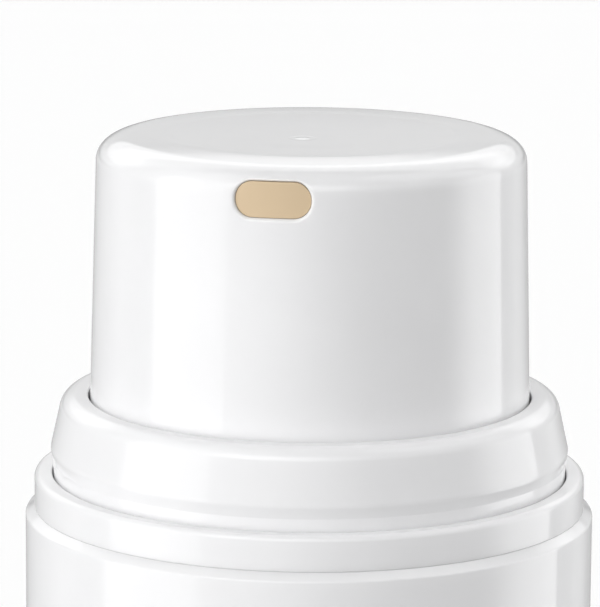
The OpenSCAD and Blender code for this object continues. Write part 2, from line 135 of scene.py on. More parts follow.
# Collar: its cone over a crease, its lip round the button and its floor
COLLAR_R = 18.03
COLLAR_IN_R = 16.6
CREASE_H = 0.86
CONE_FOOT_H = 1.727
CONE_FOOT_OUT = 0.022
CONE_LEAN = math.tan(math.radians(12.5))
LIP_R = 15.57
LIP_H = 1.2
FLOOR_TOP = 80.4
FLOOR_LOW = 78.8
FLOOR_HOLE_R = 8.6
FLOOR_SEAT_R = 11.75
FLOOR_SEAT_H = 0.83

# Sleeve under the collar's floor, with a hook inside its foot
SLEEVE_R = 14.3
SLEEVE_IN_R = 13.45
SLEEVE_LOW = 73.57
HOOK_R = 13.05
HOOK_LOW = 74.07
HOOK_TOP = 74.57

# Button: its walls, their draft, and the corner between roof and wall inside
HEAD_WALL = 1.1
HEAD_TOP_WALL = 0.9
HEAD_DRAFT = math.tan(math.radians(1.5))
HEAD_DRAFT_INSIDE = math.tan(math.radians(1.2))
ROOF_CORNER = 0.3

# Rim of the button: a superellipse with this power, which starts a little outside its own centre
RIM_W = 2.45
RIM_H = 1.86
RIM_START = 0.29
RIM_POWER = 2.15

# Dished top: its depth inside a crest, and the slight fall outside the crest, which bends with this power
DISH_DEPTH = 0.12
CREST_R = 10.0
CREST_FALL = 0.11
CREST_BEND = 1.2

# Chamfer of the button's foot, and how far in and up its middle point lies
FOOT_CHAMFER = 0.15
FOOT_MIDDLE_IN = 0.04
FOOT_MIDDLE_UP = 0.05

# Moulding gate: a nub in a faint dimple, set a little left of the top's middle and in front of it
GATE_R = 0.6
GATE_H = 0.03
GATE_DIP = 0.008
GATE_END = 1.4
GATE_SHIFT = Vector((-0.37, -1.5, 0))
# The shift is whole inside the gate's end and has faded out at this radius
SHIFT_END = 5 * GATE_END
# From the nub's edge: its flank inwards and outwards, and where the dimple starts to end and has ended
NUB_IN = 0.4
NUB_OUT = 0.05
DIP_FADE = 0.25
DIP_END = 0.45

# Outlet: an oblong hole with a rounded edge
OUTLET_W = 5.15
OUTLET_H = 2.45
OUTLET_DROP = 2.21
OUTLET_RECESS = 0.22
OUTLET_CORNER = 1.17
OUTLET_ROUND = 0.26

# Outlet plug, the web that leads down behind it, and its shaft
OUTLET_GAP = 0.02
PLUG_DEPTH = 0.65
PLUG_EDGE = 0.05
PLUG_DROP = 3.26
PLUG_Z = HEAD_TOP - PLUG_DROP
WEB_T = 0.7
WEB_W = 2.3
WEB_INSET = 0.25
WEB_BEVEL = 0.08
SHAFT_D = 1.1
SHAFT_L = 6.2

# Springs: wires, turns and the travel that shortens each
SPRING_WIRE = 0.9
SPRING_TURNS = 6
PLUG_WIRE = 0.3
PLUG_TURNS = 5


# Outlines

def spaced(start, stop, count):
    """Values at even steps from start to just before stop."""
    return [start + (stop - start) * k / count for k in range(count)]


def stepped(start, stop, count):
    """Values at even steps from just after start to stop."""
    return [start + (stop - start) * k / count for k in range(1, count + 1)]


def rounded(corners):
    """Closed outline through corners (r, z, radius). Each becomes an arc between two guard points."""
    outline = []
    for i, (r, z, radius) in enumerate(corners):
        corner = Vector((r, z))
        if radius <= 0:
            outline.append(corner)
            continue
        a = (Vector(corners[i - 1][:2]) - corner).normalized()
        b = (Vector(corners[(i + 1) % len(corners)][:2]) - corner).normalized()
        inside = a.angle(b)
        reach = radius / math.tan(inside / 2)
        centre = corner + (a + b).normalized() * (radius / math.sin(inside / 2))
        start = corner + a * reach - centre
        stop = corner + b * reach - centre
        sweep = math.pi - inside
        side = 1 if start.cross(stop) > 0 else -1
        steps = max(3, math.ceil(math.degrees(sweep) / ARC_STEP))
        outline.append(centre + start + a * GUARD)
        for k in range(steps + 1):
            outline.append(centre + Matrix.Rotation(side * sweep * k / steps, 2) @ start)
        outline.append(centre + stop + b * GUARD)
    return outline


class Curve:
    """An open line of (r, z) points that can be read at any length along it."""

    def __init__(self, points):
        self.points = [Vector(p) for p in points]
        self.lengths = [0.0]
        for p, q in zip(self.points, self.points[1:]):
            self.lengths.append(self.lengths[-1] + (q - p).length)

    def at(self, s):
        k = 1
        while k < len(self.lengths) - 1 and self.lengths[k] < s:
            k += 1
        low, high = self.lengths[k - 1], self.lengths[k]
        return self.points[k - 1].lerp(self.points[k], (s - low) / (high - low))

    def where(self, test):
        """Length at the first point that passes the test."""
        return next(s for s, p in zip(self.lengths, self.points) if test(p))


# Meshes

def new_piece(name, bm):
    """Object from a bmesh in millimetres, smooth shaded, in metres."""
    bmesh.ops.recalc_face_normals(bm, faces=bm.faces)
    for face in bm.faces:
        face.smooth = True
    bmesh.ops.scale(bm, vec=(MM, MM, MM), verts=bm.verts)
    mesh = bpy.data.meshes.new(name)
    bm.to_mesh(mesh)
    bm.free()
    piece = bpy.data.objects.new(name, mesh)
    bpy.context.scene.collection.objects.link(piece)
    return piece


def ring_of(bm, r, z, around=AROUND):
    """One circle of vertices, or a single vertex on the axis. The first one faces -Y."""
    if r < AXIS_R:
        return [bm.verts.new((0, 0, z))]
    turns = [2 * math.pi * k / around for k in range(around)]
    return [bm.verts.new((r * math.sin(t), -r * math.cos(t), z)) for t in turns]


def bridge(bm, low, high, skip=()):
    """Faces between two rings, leaving out the columns in skip."""
    count = max(len(low), len(high))
    for k in range(count):
        n = (k + 1) % count
        if k in skip:
            continue
        if len(low) == 1:
            bm.faces.new((low[0], high[n], high[k]))
        elif len(high) == 1:
            bm.faces.new((low[k], low[n], high[0]))
        else:
            bm.faces.new((low[k], low[n], high[n], high[k]))


def lathe(bm, outline, around=AROUND):
    """Turns a closed outline of (r, z) points round the Z axis."""
    rings = [ring_of(bm, p[0], p[1], around) for p in outline]
    for low, high in zip(rings, rings[1:] + rings[:1]):
        if len(low) > 1 or len(high) > 1:
            bridge(bm, low, high)
    return rings


def moved(bm, verts, matrix):
    """Moves some vertices of a mesh."""
    bmesh.ops.transform(bm, matrix=matrix, verts=verts)


def oval_at(angle, width, height, corner):
    """Point of an oblong with round corners, seen from its centre at an angle."""
    x, z = abs(math.cos(angle)), abs(math.sin(angle))
    flat, upright = width / 2 - corner, height / 2 - corner
    if x * height / 2 <= z * flat:
        reach = height / 2 / z
    elif z * width / 2 <= x * upright:
        reach = width / 2 / x
    else:
        along = x * flat + z * upright
        reach = along + math.sqrt(along * along - flat * flat - upright * upright + corner * corner)
    return math.copysign(x * reach, math.cos(angle)), math.copysign(z * reach, math.sin(angle))


def smooth(low, high, value):
    """Share from 0 to 1 of the way from low to high, with soft ends."""
    share = min(max((value - low) / (high - low), 0), 1)
    return share * share * (3 - 2 * share)


# Pieces

def make_base_cap():
    """Cap in the sleeve's foot, with a vent in its middle and three pads for the chamber."""
    rim_out = BODY_R - BODY_WALL - SEAT
    rim_in = CHAMBER_OUT_R + SEAT
    foot_in = rim_in - CAP_FOOT_W
    floor_top = BASE_LIFT + BASE_FLOOR
    bm = bmesh.new()
    lathe(bm, rounded([
        (VENT_R, BASE_LIFT, 0.2),
        (foot_in, BASE_LIFT, 0.5),
        (foot_in + 0.2, 0, 0.35),
        (rim_in, 0, 0.25),
        (rim_out, CAP_CHAMFER, 0.25),
        (rim_out, CAP_TOP - BEAD_FOOT, 0.05),
        (rim_out + SNAP, CAP_TOP - BEAD_LOW, 0.05),
        (rim_out + SNAP, CAP_TOP - BEAD_TOP, 0.05),
        (rim_out, CAP_TOP - BEAD_TOP, 0.05),
        (rim_out, CAP_TOP, 0.15),
        (rim_in, CAP_TOP, 0.15),
        (rim_in, floor_top, 0.4),
        (VENT_R, floor_top, 0.1),
    ]))
    for turn in PAD_TURNS:
        rings = lathe(bm, rounded([
            (0, floor_top - PAD_SINK, 0),
            (PAD_R, floor_top - PAD_SINK, 0),
            (PAD_R, floor_top + PAD_H, 0.2),
            (0, floor_top + PAD_H, 0),
        ]), 48)
        place = Matrix.Rotation(math.radians(turn), 4, "Z") @ Matrix.Translation((PAD_PLACE, 0, 0))
        moved(bm, [vert for ring in rings for vert in ring], place)
    return new_piece("base_plate", bm)


def make_bottle():
    """Outer sleeve, with its ledge and the groove inside its foot."""
    inner = BODY_R - BODY_WALL
    bm = bmesh.new()
    lathe(bm, rounded([
        (inner, 0, 0.15),
        (BODY_R, 0, FOOT_ROUND),
        (BODY_R, LEDGE_Z - LEDGE_H, 0.2),
        (RING_R, LEDGE_Z, 0.03),
        (inner, LEDGE_Z, 0.05),
        (inner, GROOVE_TOP, 0.03),
        (inner + SNAP, GROOVE_TOP, 0.03),
        (inner + SNAP, GROOVE_LOW, 0.03),
        (inner, GROOVE_LOW, 0.03),
    ]))
    return new_piece("bottle_sleeve", bm)


def make_ring():
    """Shoulder ring over a skirt in the sleeve, with a shelf inside."""
    skirt = BODY_R - BODY_WALL - SEAT
    bm = bmesh.new()
    lathe(bm, rounded([
        (skirt, RING_LOW, 0.1),
        (skirt, LEDGE_Z, 0.03),
        (RING_R, LEDGE_Z, 0.07),
        (RING_R, RING_TOP, 0.39),
        (RING_IN_R, RING_TOP, 0.13),
        (RING_IN_R, SHELF_TOP, 0.1),
        (SHELF_R, SHELF_TOP, 0.1),
        (SHELF_R, SHELF_TOP - SHELF_T, 0.1),
        (RING_IN_R - SHELF_STEP, SHELF_TOP - SHELF_T, 0.1),
        (RING_IN_R - SHELF_STEP, RING_LOW, 0.1),
    ]))
    return new_piece("ring_shell", bm)


def make_collar():
    """Collar round the button, with its floor and the sleeve under it."""
    cone_r = COLLAR_CREST_R + CONE_FOOT_OUT
    cone_z = RING_TOP + CONE_FOOT_H
    top_r = cone_r - (COLLAR_TOP - cone_z) * CONE_LEAN
    bm = bmesh.new()
    lathe(bm, rounded([
        (COLLAR_IN_R, COLLAR_LOW, 0.1),
        (COLLAR_R, COLLAR_LOW, 0.1),
        (COLLAR_R, RING_TOP + CREASE_H, 0.25),
        (cone_r, cone_z, 0.8),
        (top_r, COLLAR_TOP, 1.07),
        (LIP_R, COLLAR_TOP, 0.15),
        (LIP_R, COLLAR_TOP - LIP_H, 0.1),
        (COLLAR_IN_R, COLLAR_TOP - LIP_H - (COLLAR_IN_R - LIP_R), 0.1),
        (COLLAR_IN_R, FLOOR_TOP, 0.3),
        (FLOOR_HOLE_R, FLOOR_TOP, 0.1),
        (FLOOR_HOLE_R, FLOOR_LOW + FLOOR_SEAT_H, 0.02),
        (FLOOR_SEAT_R, FLOOR_LOW + FLOOR_SEAT_H, 0.02),
        (FLOOR_SEAT_R, FLOOR_LOW, 0.05),
        (SLEEVE_IN_R, FLOOR_LOW, 0.1),
        (SLEEVE_IN_R, HOOK_TOP, 0.05),
        (HOOK_R, HOOK_TOP, 0.05),
        (HOOK_R, HOOK_LOW, 0.05),
        (SLEEVE_IN_R, SLEEVE_LOW, 0.05),
        (SLEEVE_R, SLEEVE_LOW, 0.1),
        (SLEEVE_R, FLOOR_LOW, 0.1),
        (COLLAR_IN_R, FLOOR_LOW, 0.2),
    ]))
    return new_piece("collar_shell", bm)


def wall_r(z):
    """Outer radius of the button's drafted wall."""
    return HEAD_FOOT_R - (z - HEAD_FOOT) * HEAD_DRAFT


def inner_r(z):
    """Inner radius of the button's drafted wall."""
    return HEAD_FOOT_R - (z - HEAD_FOOT) * HEAD_DRAFT_INSIDE - HEAD_WALL


RIM_LOW = HEAD_TOP - RIM_H
RIM_R = wall_r(RIM_LOW) - RIM_W
OUTLET_Z = HEAD_TOP - OUTLET_DROP


def dish_z(r):
    """Height of the dished top, which falls a little again outside its crest."""
    if r < CREST_R:
        return HEAD_TOP - DISH_DEPTH * (1 - (r / CREST_R) ** 2)
    return HEAD_TOP - CREST_FALL * ((r - CREST_R) / (RIM_R + RIM_START - CREST_R)) ** CREST_BEND


def gate_rise(r):
    """Height of the moulding gate's nub and the dimple round it, over the dish."""
    nub = smooth(GATE_R - NUB_IN, GATE_R + NUB_OUT, r)
    dip = nub - smooth(GATE_R + DIP_FADE, GATE_R + DIP_END, r)
    return GATE_H * (1 - nub) - GATE_DIP * dip


def head_outside():
    """Outside of the button, from the middle of the dish to the foot."""
    fine = 480
    power = RIM_POWER
    start = RIM_START / RIM_W
    height = (RIM_H - CREST_FALL) / (1 - start ** power) ** (1 / power)
    edge_r = RIM_R + RIM_START
    dish = [(r, dish_z(r) + gate_rise(r)) for r in spaced(0, edge_r, fine)]
    first = math.acos(start ** (power / 2))
    rim = []
    for k in range(fine + 1):
        turn = first * (1 - k / fine)
        across = RIM_W * math.cos(turn) ** (2 / power)
        rim.append((RIM_R + across, RIM_LOW + height * math.sin(turn) ** (2 / power)))
    wall = [(wall_r(z), z) for z in stepped(RIM_LOW, HEAD_FOOT + FOOT_CHAMFER, fine)]
    return Curve(dish + rim + wall)


def head_inside():
    """Inside of the button, from the middle of the roof to the foot."""
    fine = 240
    corner = ROOF_CORNER
    roof_z = HEAD_TOP - HEAD_TOP_WALL
    bend_r = inner_r(roof_z) - corner
    bend_z = roof_z - corner
    roof = [(r, min(dish_z(r) - HEAD_TOP_WALL, roof_z)) for r in spaced(0, RIM_R, fine)]
    turns = [math.pi / 2 * (1 - k / fine) for k in range(fine + 1)]
    bend = [(bend_r + corner * math.cos(t), bend_z + corner * math.sin(t)) for t in turns]
    wall = [(inner_r(z), z) for z in stepped(bend_z, HEAD_FOOT, fine)]
    return Curve(roof + bend + wall)


# The outlet's patch in the button's wall: half its columns, its rows, the loops that fill it and the
# steps of its rounded edge
PATCH_HALF = 18
PATCH_ROWS = 22
PATCH_RINGS = 5
EDGE_STEPS = 8

# Margins of the patch over and under the outlet, and the heights that they give. Inside the button it
# starts in the roof instead, this far from the wall.
PATCH_OVER = 0.5
PATCH_UNDER = 0.55
PATCH_TOP = OUTLET_Z + OUTLET_H / 2 + PATCH_OVER
PATCH_LOW = OUTLET_Z - OUTLET_H / 2 - PATCH_UNDER
PATCH_ROOF = 1.2

# Rings outside the button: over the gate mark, from there to the patch, and from the patch to the foot.
# Inside they run from the middle of the roof to the patch, and from the patch to the foot.
GATE_RINGS = 28
TOP_RINGS = 70
WALL_RINGS = 12
ROOF_RINGS = 24
INSIDE_RINGS = 8


def patch_loop(rings):
    """Vertices round the edge of a patch, from its top left corner and round."""
    left, right = -PATCH_HALF, PATCH_HALF
    top, bottom = rings[0], rings[-1]
    loop = [top[k] for k in range(left, right)]
    loop += [ring[right] for ring in rings[:-1]]
    loop += [bottom[k] for k in range(right, left, -1)]
    loop += [ring[left] for ring in rings[:0:-1]]
    return loop


def join_loops(bm, outer, inner):
    """Faces between two closed loops of as many vertices."""
    for k in range(len(outer)):
        n = (k + 1) % len(outer)
        bm.faces.new((outer[k], outer[n], inner[n], inner[k]))


def surface_point(curve, x, s):
    """Point on the front of a turned curve, at width x and length s."""
    r, z = curve.at(s)
    return Vector((x, -math.sqrt(r * r - x * x), z))


def outlet_patch(bm, curve, rings, s_top, s_low, edge_round):
    """Fills the gap round the oval outlet and rounds its edge. Returns the last loop."""
    loop = patch_loop(rings)
    half_x = PATCH_HALF * 2 * math.pi / AROUND * wall_r(OUTLET_Z)
    fine = 200
    samples = [s_top + (s_low - s_top) * k / fine for k in range(fine + 1)]
    heights = [curve.at(s)[1] for s in samples]

    def length_at(z):
        """Length at which the curve has come down to a height."""
        k = next((k for k in range(1, fine + 1) if heights[k] <= z), fine)
        share = (heights[k - 1] - z) / max(heights[k - 1] - heights[k], 1e-9)
        return samples[k - 1] + (samples[k] - samples[k - 1]) * min(max(share, 0), 1)

    def nearest(co):
        """Length at which the curve passes closest to a place."""
        spot = Vector((math.hypot(co.x, co.y), co.z))
        return min(samples, key=lambda s: (spot - curve.at(s)).length)

    starts = []
    angles = []
    for vert in loop:
        s = nearest(vert.co)
        starts.append((vert.co.x, s))
        rise = (s_top + s_low) / 2 - s
        angles.append(math.atan2(rise / (s_low - s_top) * 2 * OUTLET_H, vert.co.x / half_x * OUTLET_W))

    def oval(angle, away):
        """Point of the outlet's outline at an angle, some way outside it."""
        x, z = oval_at(angle, OUTLET_W + 2 * away, OUTLET_H + 2 * away, OUTLET_CORNER + away)
        return x, OUTLET_Z + z

    last = loop
    for k in range(1, PATCH_RINGS + 1):
        share = k / PATCH_RINGS
        ring = []
        for (x0, s0), angle in zip(starts, angles):
            x1, z1 = oval(angle, edge_round)
            ring.append(bm.verts.new(surface_point(
                curve, x0 + (x1 - x0) * share, s0 + (length_at(z1) - s0) * share)))
        join_loops(bm, last, ring)
        last = ring
    steps = EDGE_STEPS if edge_round > 0 else 0
    for k in range(1, steps + 1):
        turn = math.pi / 2 * k / steps
        ring = []
        for angle in angles:
            x, z = oval(angle, edge_round * (1 - math.sin(turn)))
            point = surface_point(curve, x, length_at(z))
            ring.append(bm.verts.new(point + Vector((0, edge_round * (1 - math.cos(turn)), 0))))
        join_loops(bm, last, ring)
        last = ring
    return last


def head_rings(bm, curve, before, s_top, s_low, after):
    """Rings of a button surface, with a gap for the patch. Returns all of them, and those at the gap."""
    lengths = before + spaced(s_top, s_low, PATCH_ROWS) + [s_low]
    end = curve.lengths[-1]
    lengths += [s_low + (end - s_low) * (k / after) for k in range(1, after + 1)]
    rings = [ring_of(bm, *curve.at(s)) for s in lengths]
    first = lengths.index(s_top)
    last = lengths.index(s_low)
    skip = {k % AROUND for k in range(-PATCH_HALF, PATCH_HALF)}
    for i, (low, high) in enumerate(zip(rings, rings[1:])):
        bridge(bm, low, high, skip if first <= i < last else ())
    return rings, rings[first:last + 1]


def make_button():
    """Hollow button with a rounded rim, a dished top and the outlet in its wall."""
    bm = bmesh.new()
    outside = head_outside()
    s_top = outside.where(lambda p: p[0] > RIM_R and p[1] <= PATCH_TOP)
    s_low = outside.where(lambda p: p[0] > RIM_R and p[1] <= PATCH_LOW)
    before = spaced(0, GATE_END, GATE_RINGS) + spaced(GATE_END, s_top, TOP_RINGS)
    outer, outer_patch = head_rings(bm, outside, before, s_top, s_low, WALL_RINGS)
    outer_edge = outlet_patch(bm, outside, outer_patch, s_top, s_low, OUTLET_ROUND)
    inside = head_inside()
    s_top = inside.where(lambda p: p[0] > inner_r(HEAD_TOP) - PATCH_ROOF)
    s_low = inside.where(lambda p: p[0] > RIM_R and p[1] <= PATCH_LOW)
    before = spaced(0, s_top, ROOF_RINGS)
    inner, inner_patch = head_rings(bm, inside, before, s_top, s_low, INSIDE_RINGS)
    inner_edge = outlet_patch(bm, inside, inner_patch, s_top, s_low, 0)
    join_loops(bm, outer_edge, inner_edge)
    last = outer[-1]
    for inwards, up in ((FOOT_MIDDLE_IN, FOOT_MIDDLE_UP), (FOOT_CHAMFER, 0)):
        ring = ring_of(bm, HEAD_FOOT_R - inwards, HEAD_FOOT + up)
        bridge(bm, last, ring)
        last = ring
    bridge(bm, last, inner[-1])
    for ring in outer:
        share = 1 - smooth(GATE_END, SHIFT_END, math.hypot(*ring[0].co.xy))
        moved(bm, ring, Matrix.Translation(GATE_SHIFT * share))
    return new_piece("button_shell", bm)


def make_plug():
    """Oval plug with a curved face, the web behind it and its shaft."""
    around = 96
    face_rings = 8
    edge_steps = 6
    face_r = wall_r(OUTLET_Z) - OUTLET_RECESS
    back_y = PLUG_DEPTH - inner_r(OUTLET_Z)
    width, height = OUTLET_W - 2 * OUTLET_GAP, OUTLET_H - 2 * OUTLET_GAP
    corner = OUTLET_CORNER - OUTLET_GAP
    bm = bmesh.new()

    def loop(inset, share, depth):
        """Oval drawn in by an inset and scaled to a share, at a depth behind the face."""
        ring = []
        for k in range(around):
            angle = 2 * math.pi * k / around
            x, z = oval_at(angle, width - 2 * inset, height - 2 * inset, corner - inset)
            face_y = -math.sqrt(face_r ** 2 - (x * share) ** 2)
            ring.append(bm.verts.new((x * share, face_y + depth, OUTLET_Z + z * share)))
        return ring

    turns = [math.pi / 2 * k / edge_steps for k in range(edge_steps + 1)]
    loops = [[bm.verts.new((0, -face_r, OUTLET_Z))]]
    loops += [loop(PLUG_EDGE, k / face_rings, 0) for k in range(1, face_rings)]
    loops += [loop(PLUG_EDGE * (1 - math.sin(t)), 1, PLUG_EDGE * (1 - math.cos(t))) for t in turns]
    loops.append(loop(0, 1, PLUG_EDGE + GUARD))
    loops.append(loop(0, 1, 0))
    for vert in loops[-1]:
        vert.co.y = back_y
    loops.append([bm.verts.new((0, back_y, OUTLET_Z))])
    for low, high in zip(loops, loops[1:]):
        bridge(bm, low, high)
    web_top = OUTLET_Z + height / 2 - WEB_INSET
    web_low = PLUG_Z - WEB_W / 2
    web = bmesh.ops.create_cube(bm, size=1)["verts"]
    size = Matrix.Diagonal((WEB_W, WEB_T + SEAT, web_top - web_low, 1))
    moved(bm, web, Matrix.Translation((0, back_y + (WEB_T - SEAT) / 2, (web_top + web_low) / 2)) @ size)
    edges = {edge for vert in web for edge in vert.link_edges}
    bmesh.ops.bevel(bm, geom=list(edges), offset=WEB_BEVEL, segments=3, affect="EDGES")
    shaft_y = -back_y - WEB_T
    shaft = lathe(bm, rounded([
        (0, shaft_y + SEAT, 0),
        (SHAFT_D / 2, shaft_y + SEAT, 0),
        (SHAFT_D / 2, shaft_y - SHAFT_L, 0.15),
        (0, shaft_y - SHAFT_L, 0),
    ]), 32)
    place = Matrix.Translation((0, 0, PLUG_Z)) @ Matrix.Rotation(math.pi / 2, 4, "X")
    moved(bm, [vert for ring in shaft for vert in ring], place)
    return new_piece("outlet_stopper", bm)


def make_coil(name, mean_r, wire, length, turns, place):
    """Open coil spring with rounded wire ends, made standing on Z = 0 and then placed."""
    sides = 14
    per_turn = 44
    tip_steps = 4
    bulge = wire / 5
    pitch = (length - wire) / turns
    run = 2 * math.pi * mean_r
    bm = bmesh.new()

    def section(turn, radius, forward):
        """Ring of the wire at a turn of the coil, some way forward along it."""
        angle = 2 * math.pi * turn
        out = Vector((math.cos(angle), math.sin(angle), 0))
        along = Vector((-out.y * run, out.x * run, pitch)).normalized()
        up = out.cross(along)
        centre = out * mean_r + Vector((0, 0, wire / 2 + pitch * turn)) + along * forward
        if radius < AXIS_R:
            return [bm.verts.new(centre)]
        angles = [2 * math.pi * k / sides for k in range(sides)]
        return [bm.verts.new(centre + (out * math.cos(a) + up * math.sin(a)) * radius) for a in angles]

    def tip(turn, way):
        """Sections from the very end of the wire to its full width."""
        swings = [math.pi / 2 * k / tip_steps for k in range(tip_steps + 1)]
        return [section(turn, wire / 2 * math.sin(a), way * bulge * (1 - math.cos(a))) for a in swings]

    middle = [section(k / per_turn, wire / 2, 0) for k in range(1, turns * per_turn)]
    sections = tip(0, 1) + middle + tip(turns, -1)[::-1]
    for low, high in zip(sections, sections[1:]):
        bridge(bm, low, high)
    moved(bm, bm.verts[:], place)
    return new_piece(name, bm)


def make_return_spring():
    """Spring under the button, as long as its node."""
    low, high = box_mm("return_spring")
    place = Matrix.Translation((0, 0, low.z))
    mean_r = high.x - SPRING_WIRE / 2
    return make_coil("return_coil", mean_r, SPRING_WIRE, high.z - low.z, SPRING_TURNS, place)


def make_plug_spring():
    """Spring behind the outlet plug, as long as its node."""
    low, high = box_mm("plug_spring")
    place = Matrix.Translation((0, high.y, PLUG_Z)) @ Matrix.Rotation(math.pi / 2, 4, "X")
    mean_r = high.x - PLUG_WIRE / 2
    return make_coil("plug_coil", mean_r, PLUG_WIRE, high.y - low.y, PLUG_TURNS, place)


# Materials

# Moulded skin. The scales are in cells per metre. The mottle takes a band of its noise, the gloss varies
# by a share of itself, and the waviness has a depth in metres.
PLASTIC_IOR = 1.5
MOTTLE_SCALE = 160
MOTTLE_BAND = (0.3, 0.7)
GLOSS_SCALE = 900
GLOSS_SPREAD = 0.2
PEEL_SCALE = 420
PEEL_DEPTH = 2e-6
PEEL_STRENGTH = 0.5


def plastic(name, colour, roughness, mottle=0.012, peel=1.0, **constants):
    """Moulded skin with a mottle, changes of gloss and waviness. Constants name shader sockets."""
    material = bpy.data.materials.new(name)
    material.use_nodes = True
    nodes, links = material.node_tree.nodes, material.node_tree.links
    shader = nodes["Principled BSDF"]
    shader.inputs["IOR"].default_value = PLASTIC_IOR
    for socket, value in constants.items():
        shader.inputs[socket.replace("_", " ").title()].default_value = value
    place = nodes.new("ShaderNodeTexCoord")

    def noise(scale, detail):
        """Noise in the object's own space."""
        node = nodes.new("ShaderNodeTexNoise")
        node.inputs["Scale"].default_value = scale
        node.inputs["Detail"].default_value = detail
        links.new(place.outputs["Object"], node.inputs["Vector"])
        return node.outputs["Fac"]

    ramp = nodes.new("ShaderNodeValToRGB")
    dark, pale = ramp.color_ramp.elements
    dark.position, pale.position = MOTTLE_BAND
    dark.color = [c * (1 - mottle) for c in colour] + [1]
    pale.color = [min(1, c * (1 + mottle)) for c in colour] + [1]
    links.new(noise(MOTTLE_SCALE, 3), ramp.inputs["Fac"])
    links.new(ramp.outputs["Color"], shader.inputs["Base Color"])
    gloss = nodes.new("ShaderNodeMapRange")
    gloss.inputs["To Min"].default_value = roughness * (1 - GLOSS_SPREAD)
    gloss.inputs["To Max"].default_value = roughness * (1 + GLOSS_SPREAD)
    links.new(noise(GLOSS_SCALE, 4), gloss.inputs["Value"])
    links.new(gloss.outputs["Result"], shader.inputs["Roughness"])
    bump = nodes.new("ShaderNodeBump")
    bump.inputs["Strength"].default_value = PEEL_STRENGTH
    bump.inputs["Distance"].default_value = PEEL_DEPTH * peel
    links.new(noise(PEEL_SCALE, 2), bump.inputs["Height"])
    links.new(bump.outputs["Normal"], shader.inputs["Normal"])
    return material


# Light that spreads under the skin of a white or natural plastic
CLOUDY = {"subsurface_weight": 0.4, "subsurface_radius": (1, 1, 1), "subsurface_scale": 0.0008}


def dress(piece, material):
    """Gives a piece one material."""
    piece.data.materials.clear()
    piece.data.materials.append(material)


WHITE = (0.889, 0.889, 0.897)
white_gloss = plastic("white_gloss_plastic", WHITE, 0.10, **CLOUDY)
beige = plastic("outlet_beige_plastic", (0.70, 0.54, 0.35), 0.35)
natural = plastic("natural_plastic", (0.80, 0.79, 0.74), 0.3)
seal = plastic("seal_plastic_soft", (0.78, 0.80, 0.80), 0.42, peel=2.0)
rubber = plastic("gasket_rubber_matte", (0.58, 0.61, 0.64), 0.6, mottle=0.05, peel=4.0)
steel = plastic("spring_steel_wire", (0.62, 0.63, 0.65), 0.24, mottle=0.05, peel=0.6, metallic=1.0)
glass = plastic("valve_glass_clear", (0.86, 0.93, 0.94), 0.04, mottle=0.01, peel=0.2,
                transmission_weight=1.0)


def show(piece, body, slot, material, *nodes):
    """Puts a finished piece on its body in the place of CAD nodes."""
    dress(piece, material)
    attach(piece, body)
    if nodes:
        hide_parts(*nodes)


show(make_bottle(), "bottle", "white_gloss", white_gloss, "outer_bottle")
show(make_ring(), "bottle", "white_gloss", white_gloss, "shoulder_ring")
show(make_collar(), "bottle", "white_gloss", white_gloss, "collar")
show(make_button(), "button", "white_gloss", white_gloss, "actuator_shell")

show(make_base_cap(), "bottle", "white_gloss", white_gloss, "base_cap")
show(make_plug(), "plug", "outlet_beige", beige, "outlet_plug")

# The springs, each with a mesh of its own
return_spring = make_return_spring()
show(return_spring, "bottle", "spring_steel", steel, "return_spring")
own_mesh(return_spring)
plug_spring = make_plug_spring()
show(plug_spring, "button", "spring_steel", steel, "plug_spring")
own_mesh(plug_spring)

FINISHES = {"neck_gasket": rubber, "inlet_ball": glass, "follower_piston": seal, "pump_piston": seal}
for name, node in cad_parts.items():
    if not node.hide_render:
        dress(node, FINISHES.get(name, natural))


# Surroundings

# How bright the camera sees the backdrop, and the floor's radius in millimetres and faint glow
BACKDROP = 0.988
FLOOR_R = 2500
FLOOR_GLOW = 0.145

# Softboxes: azimuth from and to, the softness of those two edges, elevation from and to, their softness,
# and strength. Angles are in degrees. Azimuth 0 is behind the camera and 90 is to its right.
# The strengths began as a fit to the photograph's brightness, and were then rounded and changed.
SKY = [
    # Tall panel on the left, with a weak spill behind it
    (-90, -45, 4, 1.5, -25, 40, 6, 2.2),
    (-78, -45, 10, 1.5, -25, 12, 8, 0.3),
    (-125, -90, 14, 4, -25, 40, 8, 0.15),
    # Fill from the front that fades to the right
    (-45, 10, 1.5, 60, -25, 0, 8, 1.25),
    (-45, 10, 1.5, 60, 0, 15, 6, 0.9),
    (-45, 10, 1.5, 60, 15, 45, 8, 4.2),
    # Panel on the right with a sharp far edge, and its spill
    (84, 119, 26, 2, -25, 15, 4, 3.6),
    (90, 119, 26, 2, 15, 42, 4, 2.1),
    (12, 80, 40, 30, 15, 40, 8, 0.7),
    (119, 145, 2, 26, -25, 30, 8, 1.25),
    # Behind the bottle: a dim wall with a bright strip above it
    (145, 235, 20, 20, 2, 12, 6, 0.75),
    (125, 235, 20, 20, 12.8, 22, 2, 1.5),
    (125, 235, 20, 20, 22, 36, 4, 2.3),
    (125, 235, 20, 20, 36, 56, 8, 1.7),
    (140, 250, 20, 20, -30, -2, 3, 0.55),
    # Ceiling
    (-120, -30, 20, 20, 42, 75, 12, 1.0),
    (60, 120, 20, 20, 42, 75, 12, 1.4),
    # Light from below, as from a white table
    (-60, 20, 30, 50, -50, -25, 10, 0.3),
    (-150, -60, 30, 30, -50, -25, 10, 0.9),
    (60, 120, 30, 16, -50, -25, 10, 0.3),
    (-190, 190, 1, 1, -95, -50, 10, 0.7),
]


